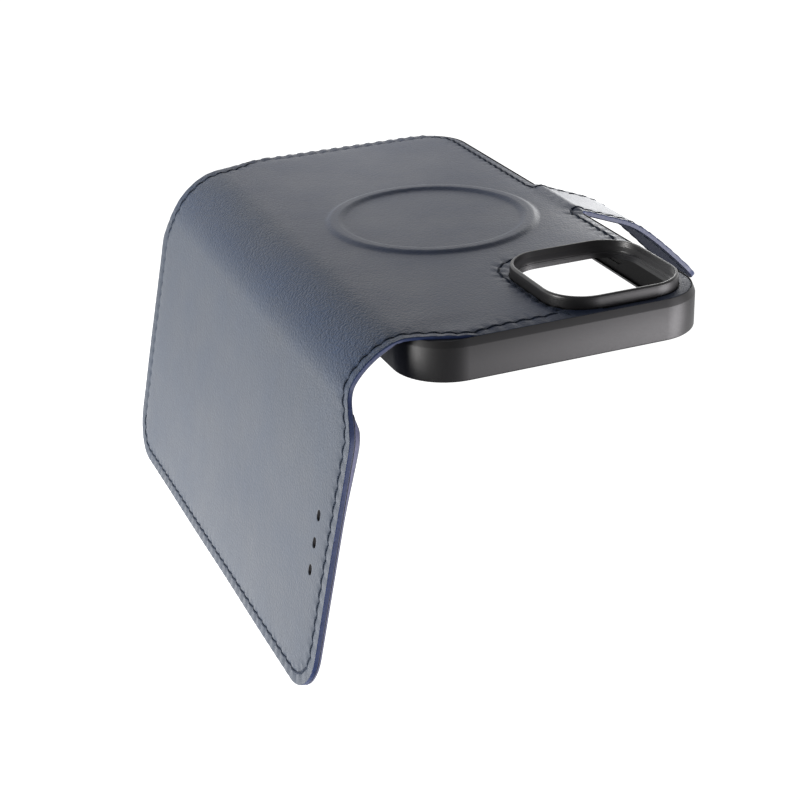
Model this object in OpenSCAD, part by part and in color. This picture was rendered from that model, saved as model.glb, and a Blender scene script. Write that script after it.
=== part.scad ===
// Folio phone wallet case: a moulded tray for the phone, a leather back that runs on as a
// flexible spine into a book cover with card pockets, and a magnetic closing strap.
// It stands like an open book on the bottom ends of the tray and the cover.
// Origin: middle of the tray's bottom end. +X to the strap side, +Y out of the leather back,
// +Z to the camera end.

/* [Case] */
// Width of the tray, outside
case_w = 75.5; // [74:0.5:80]
// Height of the tray and the cover
case_h = 151; // [149:0.5:162]
// Depth of the tray from the leather back to the front lip
case_d = 10.4; // [10.4:0.1:11.4]
// Corner radius of the tray, outside
corner_r = 13; // [11.5:0.5:14]
// Thickness of the tray's side walls
wall_t = 1.8; // [1.7:0.1:2]
// Thickness of the tray's back plate
plate_t = 1; // [1:0.1:1.2]
// How far the front lip reaches in over the glass
lip_reach = 0.55; // [0.4:0.05:0.8]
// Thickness of the front lip
lip_t = 0.65; // [0.5:0.05:0.8]
// Bevel around the tray's back edge, seen from behind
bevel_in = 0.7; // [0.5:0.1:1]
// Bevel around the tray's back edge, seen from the side
bevel_deep = 0.94; // [0.8:0.02:1.2]

/* [Leather] */
// Thickness of the outer leather
leather_t = 0.8; // [0.7:0.05:0.9]
// Thickness of the lining in the spine
lining_t = 0.45; // [0.35:0.05:0.5]
// Gap between the leather's edge and the tray's outer edge
leather_in = 0.9; // [0.5:0.1:1.2]
// How deep the leather is cut away at both ends of the spine
notch_deep = 6; // [4:0.5:8]
// Length of the curve from the notch to the cover's straight edge
notch_run = 13.5; // [12:0.5:16]
// Length of the curve from the notch to the back's straight edge
notch_back_run = 19.5; // [12:0.5:24]
// Distance from a cut edge to its row of stitches
stitch_in = 2.7; // [2:0.1:3.5]
// Thickness of the sewing thread
thread_d = 0.6; // [0.4:0.1:0.8]

/* [Camera window] */
// Width of the raised camera rim, outside
rim_w = 34.5; // [33:0.5:36]
// Height of the raised camera rim, outside
rim_h = 34; // [33:0.5:36]
// Corner radius of the raised camera rim
rim_r = 10; // [8:0.5:11]
// How far the rim stands above the leather
rim_proud = 2.6; // [2:0.1:3]
// Thickness of the rim's wall
rim_t = 1.4; // [1.2:0.1:1.8]
// Ledge that the tray leaves inside the rim
rim_ledge = 0.7; // [0.5:0.1:1]
// Middle of the window from the tray's middle, towards the strap
rim_x = 16.3; // [15:0.1:17]
// Middle of the window below the tray's camera end
rim_down = 19.8; // [19:0.1:21]

/* [Magnet ring] */
// Height of the ring's middle above the bottom end
ring_z = 74; // [70:0.5:80]
// Radius of the magnets' middle
ring_r = 25.6; // [24:0.2:27]
// Width of the magnets
magnet_w = 2.7; // [2:0.1:3]
// Thickness of the magnets
magnet_t = 0.85; // [0.8:0.05:1.2]
// Number of magnets around the ring
magnet_count = 18; // [12:1:24]
// How far the leather is pushed up over the magnets
emboss = 0.8; // [0.5:0.1:1]

/* [Spine] */
// Width of the spine from the tray's fold to the cover's fold
spine_w = 13.2; // [13:0.1:15]
// Angle that each of the two folds stands at in the half-open pose
spine_turn = 39; // [20:1:60]
// Distance of the tray's fold from the tray's side
spine_out = 2.74; // [2.5:0.01:3]
// Half of the gap between two leather sections at a fold
spine_gap = 0.8; // [0.75:0.05:0.9]

/* [Cover] */
// Width of the cover from its fold to its free edge
cover_w = 77.2; // [75:0.1:78]
// Corner radius of the cover's free corners
cover_r = 12; // [8:0.5:14]
// Thickness of the stiffener board
board_t = 0.4; // [0.3:0.05:0.5]
// Thickness of the cover's lining
cover_lining_t = 0.65; // [0.55:0.05:0.7]
// Thickness of the cash pocket's panel
pocket_t = 0.5; // [0.4:0.05:0.6]
// Number of stepped card pockets
card_pockets = 3; // [1:1:3]
// Thickness of one card pocket's panel
card_t = 0.35; // [0.3:0.05:0.4]
// Height of the tallest card pocket
card_top = 112; // [95:1:125]
// Step from one card pocket's edge down to the next
card_step = 12; // [8:1:14]
// Number of sound slots for the earpiece
slot_count = 3; // [1:1:5]
// Distance from one sound slot to the next
slot_pitch = 6.85; // [6:0.05:8]
// Distance of the first sound slot from the cover's fold
slot_first = 32.9; // [30:0.1:36]
// Distance of the sound slots below the cover's top edge
slot_down = 10.2; // [9:0.1:12]

/* [Strap] */
// Width of the strap
strap_w = 25; // [20:1:30]
// Length of one of the strap's three bending sections
strap_link = 6.35; // [6:0.05:7]
// Length of the stiff tab at the strap's end
tab_len = 26.2; // [20:0.2:28]
// Corner radius of the tab's tip
tab_r = 6.5; // [6:0.5:12]
// Thickness of each of the strap's two layers
strap_t = 0.75; // [0.6:0.05:0.8]
// Distance of the first strap fold from the tray's side
strap_out = 0.85; // [0.8:0.05:1.2]
// Half of the gap between two strap sections at a fold
strap_gap = 0.5; // [0.45:0.05:0.6]

/* [Buttons] */
// Middle of the power button below the camera end
power_down = 48.5; // [46:0.5:52]
// Length of the power button
power_len = 15; // [10:0.5:18]
// Middle of the volume-up button below the camera end
volume_up_down = 42; // [40:0.5:44]
// Middle of the volume-down button below the camera end
volume_down_down = 55; // [53:0.5:57]
// Length of a volume button
volume_len = 9.5; // [8:0.5:11]
// Thickness of the buttons, front to back
button_t = 3.2; // [2.8:0.1:3.6]
// How far the buttons stand out of the wall
button_proud = 0.6; // [0.4:0.1:0.8]
// Middle of the mute switch's opening below the camera end
mute_down = 27; // [25:0.5:30]

/* [Hidden] */
$fn = 64;

navy = "#5b616e";
edge_blue = "#3f4a78";
thread_navy = "#1c2233";
tray_black = "#39393c";
magnet_grey = "#8d8f94";

past = 1;              // how far a cutting shape runs past the surface that it opens
fit_gap = 0.2;         // gap between the phone and the tray on each side
back_y = case_d / 2;   // the leather back's outer surface
side_x = case_w / 2;
lining_soft = 0.3;     // soft lining on the tray's floor
plate_back = leather_t;
plate_front = plate_back + plate_t;
lip_back = case_d - lip_t;
cavity_w = case_w - 2 * wall_t;
cavity_h = case_h - 2 * (wall_t + fit_gap);
cavity_r = corner_r - wall_t - fit_gap;
rim_z = case_h - rim_down;
curve_steps = 8;
corner_step = 15;

// Spine: hinge plane at the middle of the spine's two layers
spine_t = leather_t + lining_t;
spine_skin = spine_t / 2;
spine_hinge_x = -side_x - spine_out;
spine_hinge_y = back_y - spine_skin;
notch_lead = 1;        // how far past a fold the notch's curve begins

// Strap: hinge plane between its two equal layers; each section hangs a little lower
strap_hinge_x = side_x + strap_out;
strap_hinge_y = back_y - strap_t;
strap_dirs = [-19, -26, -34, -42.4];
strap_stitch_in = 2.2;
strap_seam = strap_w / 2 - strap_stitch_in;   // row of stitches from the strap's middle

// Cover layers, measured outwards from the hinge plane
cover_skin = spine_skin - leather_t;
board_in = cover_skin - board_t;
lining_in = cover_skin - cover_lining_t;
pocket_in = lining_in - pocket_t;
board_margin = 4;
board_start = 6;
pocket_start = 8;
card_margin = 4;
card_low = 6;

// Where the tab's magnet lands on the closed cover
plate_size = [15, 18];
plate_mid = 65.5;
magnet_size = [10, 14];
magnet_mid = 13.5;
magnet_half = 0.4;

// Stitches beside and below the camera window, measured from the rim
window_beside = 1.5;
window_below = 3.7;

rim_clear = 0.1;
magnet_room = 0.12;    // gap around the magnets under the leather
magnet_split = 1.2;    // angle between two magnets
emboss_round = 0.3;
button_clear = 0.2;
button_flange = 0.8;
flange_t = 0.5;
recess_deep = 0.95;
flange_gap = 0.05;
button_depth = (plate_front + lip_back) / 2;
port_size = [13, 6];
speaker_size = [11, 3.4];
speaker_x = 17;
mute_size = [9, 5];

function smooth(t) = let (c = min(max(t, 0), 1)) c * c * (3 - 2 * c);
function direction(a) = [cos(a), sin(a)];
function arc(cx, cy, r, a0, a1) =
    let (n = max(1, round(abs(a1 - a0) / corner_step)))
    [for (i = [0:n]) let (a = a0 + (a1 - a0) * i / n) [cx + r * cos(a), cy + r * sin(a)]];
function flip_height(path) = [for (i = [len(path) - 1:-1:0]) [path[i][0], case_h - path[i][1]]];
function path_normal(path, i) =
    let (a = path[max(i - 1, 0)], b = path[min(i + 1, len(path) - 1)], d = b - a)
    [-d[1], d[0]] / norm(d);
function spine_dir(i) = 180 + spine_turn * (i + 1);
function spine_hinge(i) =
    [spine_hinge_x, spine_hinge_y] + (i == 0 ? [0, 0] : spine_w * direction(spine_dir(0)));
function strap_hinge(i) =
    i == 0 ? [strap_hinge_x, strap_hinge_y]
           : strap_hinge(i - 1) + strap_link * direction(strap_dirs[i - 1]);

// Frames --------------------------------------------------------------------------------

// Plan x, plan y = height, plan z = depth below the leather back
module in_depth() {
    translate([0, back_y, 0]) rotate([90, 0, 0]) children();
}

// A flat layer of the children's outline between two depths below the leather back
module depth_layer(shallow, deep) {
    in_depth() translate([0, 0, shallow]) linear_extrude(deep - shallow) children();
}

// A flat layer in a fold's own frame, between two local y values
module layer(low, high) {
    translate([0, high, 0]) rotate([90, 0, 0]) linear_extrude(high - low) children();
}

module at_spine(i) {
    translate([spine_hinge(i)[0], spine_hinge(i)[1], 0]) rotate([0, 0, spine_dir(i)]) children();
}

module at_strap(i) {
    translate([strap_hinge(i)[0], strap_hinge(i)[1], 0]) rotate([0, 0, strap_dirs[i]]) children();
}

// Outlines ------------------------------------------------------------------------------

module rounded_rect(w, h, r) {
    square([w - 2 * r, h], center = true);
    square([w, h - 2 * r], center = true);
    for (x = [-1, 1], y = [-1, 1])
        translate([x * (w / 2 - r), y * (h / 2 - r)]) circle(r);
}

module slot_2d(w, h) {
    square([w - h, h], center = true);
    for (x = [-1, 1]) translate([x * (w - h) / 2, 0]) circle(h / 2);
}

// A narrow strip of even width along a path
module ribbon(path, w) {
    left = [for (i = [0:len(path) - 1]) path[i] + path_normal(path, i) * w / 2];
    right = [for (i = [len(path) - 1:-1:0]) path[i] - path_normal(path, i) * w / 2];
    polygon(concat(left, right));
}

module camera_hole(grow) {
    translate([rim_x, rim_z]) rounded_rect(rim_w + 2 * grow, rim_h + 2 * grow, rim_r + grow);
}

// Lower edge of the back leather, from the spine fold to where the edge runs straight
function back_edge(inset) =
    let (x0 = spine_hinge_x - notch_lead, x1 = spine_hinge_x + spine_gap)
    [for (i = [0:curve_steps])
        let (x = x1 + (x0 + notch_back_run - x1) * i / curve_steps,
             t = smooth((x - x0) / notch_back_run))
        [x, notch_deep + (leather_in - notch_deep) * t + inset]];

module back_outline() {
    free_x = side_x - leather_in;
    r = corner_r - leather_in - 1;
    low = back_edge(0);
    corner = arc(free_x - r, leather_in + r, r, -90, 0);
    root = 2;
    strap_low = ring_z - strap_w / 2;
    strap_high = ring_z + strap_w / 2;
    stub_x = strap_hinge_x - strap_gap;
    lower = concat(low, corner, arc(free_x + root, strap_low - root, root, 180, 90),
                   [[stub_x, strap_low]]);
    upper = concat([[stub_x, strap_high]], arc(free_x + root, strap_high + root, root, 270, 180),
                   flip_height(corner), flip_height(low));
    polygon(concat(lower, upper));
}

// Curved edge of the cover in its own frame, from the fold outwards
function cover_edge(inset) =
    [for (i = [0:curve_steps])
        let (u = spine_gap + (notch_run - notch_lead - spine_gap) * i / curve_steps,
             t = smooth((u + notch_lead) / notch_run))
        [u, notch_deep * (1 - t) + inset]];

module cover_outline(start, inset) {
    r = cover_r - inset;
    edge = [for (p = cover_edge(inset)) if (p[0] >= start) p];
    first = [start, edge[0][1]];
    corner = arc(cover_w - cover_r, cover_r, r, -90, 0);
    lower = concat([first], edge, corner);
    polygon(concat(lower, flip_height(lower)));
}

module sound_slots() {
    for (i = [0:slot_count - 1])
        translate([slot_first + i * slot_pitch, case_h - slot_down]) slot_2d(2.4, 1.8);
}

// Tray ----------------------------------------------------------------------------------

// Back part of the tray with a bevel all round its outer edge
module bevelled_back() {
    deep = plate_back + bevel_deep;
    bottom = deep + 1;
    x = side_x;
    z = case_h / 2;
    in_depth() translate([0, z, 0]) {
        translate([corner_r - x, 0, 0]) rotate([90, 0, 90]) linear_extrude(case_w - 2 * corner_r)
            polygon([[bevel_in - z, plate_back], [z - bevel_in, plate_back], [z, deep],
                     [z, bottom], [-z, bottom], [-z, deep]]);
        translate([0, z - corner_r, 0]) rotate([90, 0, 0]) linear_extrude(case_h - 2 * corner_r)
            polygon([[bevel_in - x, plate_back], [x - bevel_in, plate_back], [x, deep],
                     [x, bottom], [-x, bottom], [-x, deep]]);
        for (i = [-1, 1], j = [-1, 1])
            translate([i * (x - corner_r), j * (z - corner_r), 0]) rotate_extrude()
                polygon([[0, plate_back], [corner_r - bevel_in, plate_back], [corner_r, deep],
                         [corner_r, bottom], [0, bottom]]);
    }
}

// Hole for a button through a side wall, with a recess for its flange
module button_hole(side, down, len) {
    z = case_h - down;
    hole = [4 * wall_t, button_t + 2 * button_clear, len + 2 * button_clear];
    flange = [recess_deep + past, hole[1] + 2 * button_flange, hole[2] + 2 * button_flange];
    translate([side * side_x, back_y - button_depth, z]) cube(hole, center = true);
    translate([side * (side_x - wall_t + recess_deep - flange[0] / 2), back_y - button_depth, z])
        cube(flange, center = true);
}

module bottom_port(x, size) {
    translate([x, back_y - button_depth, -past]) linear_extrude(3 * wall_t) slot_2d(size[0], size[1]);
}

module phone_shell() {
    mid = case_h / 2;
    color(tray_black) difference() {
        union() {
            bevelled_back();
            depth_layer(plate_back + bevel_deep, case_d) translate([0, mid])
                rounded_rect(case_w, case_h, corner_r);
        }
        depth_layer(plate_front, lip_back) translate([0, mid])
            rounded_rect(cavity_w, cavity_h, cavity_r);
        depth_layer(plate_front, case_d + past) translate([0, mid])
            rounded_rect(cavity_w - 2 * lip_reach, cavity_h - 2 * lip_reach, cavity_r - lip_reach);
        depth_layer(0, 2 * plate_front) camera_hole(-rim_t - rim_ledge);
        bottom_port(0, port_size);
        for (x = [-speaker_x, speaker_x]) bottom_port(x, speaker_size);
        translate([-side_x, back_y - button_depth, case_h - mute_down])
            cube([4 * wall_t, mute_size[1], mute_size[0]], center = true);
        button_hole(1, power_down, power_len);
        button_hole(-1, volume_up_down, volume_len);
        button_hole(-1, volume_down_down, volume_len);
    }
}

module camera_rim() {
    color(tray_black) depth_layer(-rim_proud, plate_back) difference() {
        camera_hole(0);
        camera_hole(-rim_t);
    }
}

module shell_lining() {
    margin = 0.4;
    color(edge_blue) depth_layer(plate_front, plate_front + lining_soft) difference() {
        translate([0, case_h / 2])
            rounded_rect(cavity_w - 2 * margin, cavity_h - 2 * margin, cavity_r - margin);
        camera_hole(0);
    }
}

// A button cap through the wall with a flange that keeps it in
module button(side, down, len) {
    z = case_h - down;
    inner = side_x - wall_t + recess_deep - flange_gap;
    cap_w = side_x + button_proud - inner;
    color(tray_black) {
        translate([side * (inner + cap_w / 2), back_y - button_depth, z])
            cube([cap_w, button_t, len], center = true);
        translate([side * (inner - flange_t / 2), back_y - button_depth, z])
            cube([flange_t, button_t + button_flange, len + button_flange], center = true);
    }
}

module power_button() { button(1, power_down, power_len); }
module volume_up_button() { button(-1, volume_up_down, volume_len); }
module volume_down_button() { button(-1, volume_down_down, volume_len); }

// Back ----------------------------------------------------------------------------------

// Flat magnets side by side around the ring, seated on the tray
module magnet_ring() {
    pitch = 360 / magnet_count;
    color(magnet_grey) in_depth() translate([0, ring_z, 0])
        for (i = [0:magnet_count - 1]) rotate([0, 0, i * pitch])
            rotate_extrude(angle = pitch - magnet_split)
            translate([ring_r - magnet_w / 2, plate_back - magnet_t]) square([magnet_w, magnet_t]);
}

// Leather over the tray's back, pushed up into a soft ring over the magnets
module back_leather() {
    room = magnet_w / 2 + magnet_room;
    foot = room + emboss;
    crown = room - emboss_round;
    color(navy) difference() {
        union() {
            depth_layer(0, leather_t) back_outline();
            in_depth() translate([0, ring_z, 0]) rotate_extrude()
                polygon([[ring_r - foot, magnet_room], [ring_r - foot, 0],
                         [ring_r - crown, -emboss], [ring_r + crown, -emboss],
                         [ring_r + foot, 0], [ring_r + foot, magnet_room]]);
        }
        depth_layer(-past, plate_front) camera_hole(rim_clear);
        in_depth() translate([0, ring_z, 0]) rotate_extrude()
            translate([ring_r - room, plate_back - magnet_t - magnet_room])
            square([2 * room, magnet_t + magnet_room + past]);
    }
}

// Stitches from the spine fold round the camera window and down to the strap
module back_stitching() {
    free_x = side_x - leather_in - stitch_in;
    top = case_h - leather_in - stitch_in;
    window_low = rim_z - rim_h / 2 - window_below;
    window_x = rim_x - rim_w / 2 - window_beside;
    stitch_end = strap_hinge_x - strap_gap;
    turn = 2.8;
    corner = 8;
    window_corner = 9.5;
    upper = concat([for (p = back_edge(stitch_in)) [p[0], case_h - p[1]]],
        [[window_x + window_beside, top], [window_x, rim_z + window_corner]],
        arc(window_x + window_corner, window_low + window_corner, window_corner, 180, 270),
        arc(free_x - turn, window_low - turn, turn, 90, 0),
        arc(free_x + turn, ring_z + strap_seam + turn, turn, 180, 270),
        [[stitch_end, ring_z + strap_seam]]);
    lower = concat(back_edge(stitch_in),
        arc(free_x - corner, leather_in + stitch_in + corner, corner, -90, 0),
        arc(free_x + turn, ring_z - strap_seam - turn, turn, 180, 90),
        [[stitch_end, ring_z - strap_seam]]);
    color(thread_navy) depth_layer(-thread_d / 3, 0) {
        ribbon(upper, thread_d);
        ribbon(lower, thread_d);
    }
}

// Spine ---------------------------------------------------------------------------------

module spine_plan() {
    translate([spine_gap, notch_deep]) square([spine_w - 2 * spine_gap, case_h - 2 * notch_deep]);
}

module spine_leather() {
    color(navy) at_spine(0) layer(-spine_skin, leather_t - spine_skin) spine_plan();
}

module spine_lining() {
    color(edge_blue) at_spine(0) layer(leather_t - spine_skin, spine_skin) spine_plan();
}

module spine_stitching() {
    color(thread_navy) at_spine(0) layer(-spine_skin - thread_d / 3, -spine_skin)
        for (z = [notch_deep + stitch_in, case_h - notch_deep - stitch_in])
            translate([spine_gap, z - thread_d / 2]) square([spine_w - 2 * spine_gap, thread_d]);
}

// Cover ---------------------------------------------------------------------------------

module cover_leather() {
    color(navy) at_spine(1) layer(-spine_skin, -cover_skin) difference() {
        cover_outline(spine_gap, 0);
        sound_slots();
    }
}

module plate_outline() {
    translate([plate_mid, ring_z]) square(plate_size, center = true);
}

// Stiffener board, with a window for the steel closure plate
module cover_board() {
    color("#b9b3a5") at_spine(1) layer(-cover_skin, -board_in) difference() {
        cover_outline(board_start, board_margin);
        sound_slots();
        plate_outline();
    }
}

module closure_plate() {
    color(magnet_grey) at_spine(1) layer(-cover_skin, -board_in) plate_outline();
}

// Lining with a shallow hollow that holds the board
module cover_lining() {
    color(edge_blue) at_spine(1) difference() {
        layer(-cover_skin, -lining_in) difference() {
            cover_outline(spine_gap, 0);
            sound_slots();
        }
        layer(-cover_skin - past, -board_in) cover_outline(board_start, board_margin);
    }
}

module cash_pocket() {
    color(edge_blue) at_spine(1) layer(-lining_in, -pocket_in) difference() {
        cover_outline(pocket_start, 0);
        sound_slots();
    }
}

// One stepped card pocket, the nearest to the phone being the lowest
module card_pocket(i) {
    inner = pocket_in - i * card_t;
    u0 = pocket_start + card_margin;
    u1 = cover_w - card_margin;
    color(edge_blue) at_spine(1) layer(-inner - card_t, -inner)
        translate([u0, card_low]) square([u1 - u0, card_top - i * card_step - card_low]);
}

// Stitches around the cover's outer side, open towards the spine
module cover_stitching() {
    r = cover_r - stitch_in;
    edge = cover_edge(stitch_in);
    lower = concat(edge, arc(cover_w - cover_r, cover_r, r, -90, 0));
    color(thread_navy) at_spine(1) layer(-spine_skin - thread_d / 3, -spine_skin)
        ribbon(concat(lower, flip_height(lower)), thread_d);
}

// Strap ---------------------------------------------------------------------------------

module strap_plan() {
    translate([strap_gap, ring_z - strap_w / 2]) square([strap_link - 2 * strap_gap, strap_w]);
}

module strap_leather(i) {
    color(navy) at_strap(i) layer(0, strap_t) strap_plan();
}

module strap_lining(i) {
    color(edge_blue) at_strap(i) layer(-strap_t, 0) strap_plan();
}

module strap_stitching(i) {
    color(thread_navy) at_strap(i) layer(strap_t, strap_t + thread_d / 3)
        for (side = [-1, 1]) translate([strap_gap, ring_z + side * strap_seam - thread_d / 2])
            square([strap_link - 2 * strap_gap, thread_d]);
}

function tab_edge(inset) =
    let (half = strap_w / 2 - inset, r = tab_r - inset)
    concat([[strap_gap, ring_z - half]],
           arc(tab_len - tab_r, ring_z - strap_w / 2 + tab_r, r, -90, 0),
           arc(tab_len - tab_r, ring_z + strap_w / 2 - tab_r, r, 0, 90),
           [[strap_gap, ring_z + half]]);

// The tab's magnet lies half in the leather and half in the lining
module magnet_box() {
    layer(-magnet_half, magnet_half) translate([magnet_mid, ring_z])
        square(magnet_size, center = true);
}

module tab_leather() {
    color(navy) at_strap(3) difference() {
        layer(0, strap_t) polygon(tab_edge(0));
        magnet_box();
    }
}

module tab_lining() {
    color(edge_blue) at_strap(3) difference() {
        layer(-strap_t, 0) polygon(tab_edge(0));
        magnet_box();
    }
}

module tab_magnet() {
    color(magnet_grey) at_strap(3) magnet_box();
}

module tab_stitching() {
    color(thread_navy) at_strap(3) layer(strap_t, strap_t + thread_d / 3)
        ribbon(tab_edge(strap_stitch_in), thread_d);
}

phone_shell();
camera_rim();
shell_lining();
back_leather();
magnet_ring();
back_stitching();
power_button();
volume_up_button();
volume_down_button();
spine_leather();
spine_lining();
spine_stitching();
cover_leather();
cover_board();
closure_plate();
cover_lining();
cash_pocket();
card_pocket(1);  // card_pocket_1
card_pocket(2);  // card_pocket_2
card_pocket(3);  // card_pocket_3
cover_stitching();
strap_leather(0);  // strap_leather_1
strap_leather(1);  // strap_leather_2
strap_leather(2);  // strap_leather_3
strap_lining(0);  // strap_lining_1
strap_lining(1);  // strap_lining_2
strap_lining(2);  // strap_lining_3
strap_stitching(0);  // strap_stitching_1
strap_stitching(1);  // strap_stitching_2
strap_stitching(2);  // strap_stitching_3
tab_leather();
tab_lining();
tab_magnet();
tab_stitching();
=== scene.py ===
import math
import bpy
import bmesh
import numpy as np
from mathutils import Matrix, Vector
from mathutils.geometry import delaunay_2d_cdt
from mathutils.kdtree import KDTree


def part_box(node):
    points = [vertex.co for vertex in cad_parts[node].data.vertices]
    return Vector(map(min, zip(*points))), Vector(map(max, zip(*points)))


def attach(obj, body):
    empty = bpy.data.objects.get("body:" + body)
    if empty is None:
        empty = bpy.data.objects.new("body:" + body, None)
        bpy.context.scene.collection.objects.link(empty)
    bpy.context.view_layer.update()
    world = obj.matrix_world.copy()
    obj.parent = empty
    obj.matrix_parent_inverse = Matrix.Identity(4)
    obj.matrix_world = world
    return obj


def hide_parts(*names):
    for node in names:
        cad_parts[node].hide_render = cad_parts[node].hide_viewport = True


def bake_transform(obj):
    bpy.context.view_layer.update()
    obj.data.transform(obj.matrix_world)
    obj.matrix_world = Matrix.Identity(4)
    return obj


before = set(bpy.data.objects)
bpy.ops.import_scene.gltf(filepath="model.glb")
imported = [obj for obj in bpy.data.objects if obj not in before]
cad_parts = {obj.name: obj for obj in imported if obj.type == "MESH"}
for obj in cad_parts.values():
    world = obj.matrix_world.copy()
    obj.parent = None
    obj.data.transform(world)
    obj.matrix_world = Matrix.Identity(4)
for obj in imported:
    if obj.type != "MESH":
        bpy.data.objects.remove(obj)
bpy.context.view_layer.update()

# ---- camera

CAMERA_RIGHT = Vector((0.9226, -0.0321, 0.3843))
CAMERA_UP = Vector((0.1885, 0.9069, -0.3768))
CAMERA_BACK = Vector((-0.3364, 0.4201, 0.8428))
camera_data = bpy.data.cameras.new("camera")
camera_data.lens = 76.7
camera_data.sensor_width = 36.0
camera_data.clip_start = 0.01
camera = bpy.data.objects.new("camera", camera_data)
bpy.context.scene.collection.objects.link(camera)
turn = Matrix((CAMERA_RIGHT, CAMERA_UP, CAMERA_BACK)).transposed().to_quaternion().to_matrix()
camera.matrix_world = Matrix.Translation((-0.1657, 0.1487, 0.4621)) @ turn.to_4x4()
bpy.context.scene.camera = camera

# ---- sizes, in millimetres

MM = 0.001


def span(node):
    """Lowest and highest corner of a CAD node, in millimetres."""
    low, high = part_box(node)
    return np.array(low) / MM, np.array(high) / MM


LEATHER = 0.8
SPINE_LINING = 0.45
COVER_LINING = 0.65
POCKET = 0.5
CARD = 0.35
STRAP_LINING = 0.7
EDGE_ROUND = 0.28
ROUNDING = (0.07, 0.16, EDGE_ROUND)

shell_low, shell_high = span("phone_shell")
rim_low, rim_high = span("camera_rim")
ring_low, ring_high = span("magnet_ring")
CASE_W = shell_high[0] - shell_low[0]
CASE_H = shell_high[2] - shell_low[2]
BACK_Y = shell_high[1] + LEATHER
CASE_D = BACK_Y - shell_low[1]
CORNER = 13.0
WALL = 1.8
PLATE_FRONT = LEATHER + 1.0
RING_Z = (ring_low[2] + ring_high[2]) / 2
RING_R = (ring_high[0] - ring_low[0]) / 2 - 1.35
RIM_S = -(rim_low[0] + rim_high[0]) / 2
RIM_Z = (rim_low[2] + rim_high[2]) / 2
RIM_W = rim_high[0] - rim_low[0]
RIM_H = rim_high[2] - rim_low[2]
RIM_CORNER = 10.0

# The flat leather: s runs over the back towards the spine and on over the cover, z is height
SPINE_START = 36.62
SPINE_RADIUS = 15.66
SPINE_TURN = 78.0
SPINE_END = SPINE_START + SPINE_RADIUS * math.radians(SPINE_TURN)
SPINE_MID = (SPINE_START + SPINE_END) / 2
COVER_FOLD = 54.06
COVER_END = COVER_FOLD + 76.2
COVER_CORNER = 12.0
EDGE_IN = 0.9
FREE_EDGE = -(CASE_W / 2 - EDGE_IN)
NOTCH = 6.0
NOTCH_RUN = 13.5
NOTCH_TRAY = 21.0
NOTCH_TRAY_RUN = 18.0
NOTCH_COVER = COVER_FOLD - 1
STRAP_START = -35.7
STRAP_HALF = 12.5
STRAP_LOW = RING_Z - STRAP_HALF
STRAP_HIGH = RING_Z + STRAP_HALF
STRAP_TIP = -57.65 - 26.2
TIP_CORNER = 6.5
TIP_IN = STRAP_TIP + TIP_CORNER
ROOT = 2.0
STRAP_CUTS = [FREE_EDGE - ROOT, -41.78, -48.13, -54.48]
RING_RISE = 0.75
POCKET_START = COVER_FOLD + 5.5

# ---- the bent leather


def smooth(t):
    t = np.clip(t, 0.0, 1.0)
    return t * t * (3 - 2 * t)


LINE_STEP = 0.1
LINE_S = np.arange(-86.0, 136.0, LINE_STEP)


def line_turn():
    """Direction, in degrees, in which s runs at each place along the bent leather."""
    part = np.clip((LINE_S - SPINE_START) / (SPINE_END - SPINE_START), 0, 1)
    spine = SPINE_TURN * (part + 0.35 * np.sin(2 * math.pi * part) / (2 * math.pi))
    along = [0, 3, 6, 15, 19, 24, 31, 37, 46]
    drop = [0, -19, -21, -20.5, -31, -39, -42.5, -44.5, -47]
    strap = np.interp(STRAP_START - LINE_S, along, drop)
    turned = 180 + spine + strap
    soft = 12
    padded = np.pad(turned, soft, mode="edge")
    return np.convolve(padded, np.ones(2 * soft + 1) / (2 * soft + 1), mode="valid")


LINE_TURN = line_turn()
LINE_X = np.cumsum(np.cos(np.radians(LINE_TURN))) * LINE_STEP
LINE_Y = np.cumsum(np.sin(np.radians(LINE_TURN))) * LINE_STEP
LINE_X -= np.interp(0, LINE_S, LINE_X)
LINE_Y += BACK_Y - np.interp(0, LINE_S, LINE_Y)


def place(s, z, h):
    """Row-frame points, in metres, of flat leather points (s, z), h outwards."""
    out = np.radians(np.interp(s, LINE_S, LINE_TURN) - 90)
    x = np.interp(s, LINE_S, LINE_X) + h * np.cos(out)
    y = np.interp(s, LINE_S, LINE_Y) + h * np.sin(out)
    return np.stack([x, y, z + 0 * x], 1) * MM


# ---- outlines on the flat leather


def arc(s, z, r, start, end, step=9.0):
    n = max(2, int(abs(end - start) / step) + 1)
    a = np.radians(np.linspace(start, end, n))
    return np.stack([s + r * np.cos(a), z + r * np.sin(a)], 1)


def run(stops, height, spacing=0.8):
    """Points from the first s to the last through every stop; height is a number or a function."""
    parts = []
    for a, b in zip(stops[:-1], stops[1:]):
        parts.append(np.linspace(a, b, max(2, int(abs(b - a) / spacing) + 1))[:-1])
    s = np.concatenate(parts + [np.array([stops[-1]])])
    z = height(s) if callable(height) else np.full(len(s), float(height))
    return np.stack([s, z], 1)


def rise(s, stops):
    """Points at one s, up or down through every stop of z."""
    return run(stops, s)[:, ::-1]


def joined(*parts):
    """One list of points from parts that end where the next begins."""
    points = np.concatenate(parts)
    keep = np.linalg.norm(points - np.roll(points, 1, 0), axis=1) > 1e-4
    return points[keep]


def edge_inset(s):
    """How far the leather's cut edge lies inside the case's ends."""
    tray = EDGE_IN + (NOTCH - EDGE_IN) * smooth((s - NOTCH_TRAY) / NOTCH_TRAY_RUN)
    cover = NOTCH * (1 - smooth((s - NOTCH_COVER) / NOTCH_RUN))
    return np.where(s < SPINE_MID, tray, cover)


def high_edge(s):
    return CASE_H - edge_inset(s)


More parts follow.
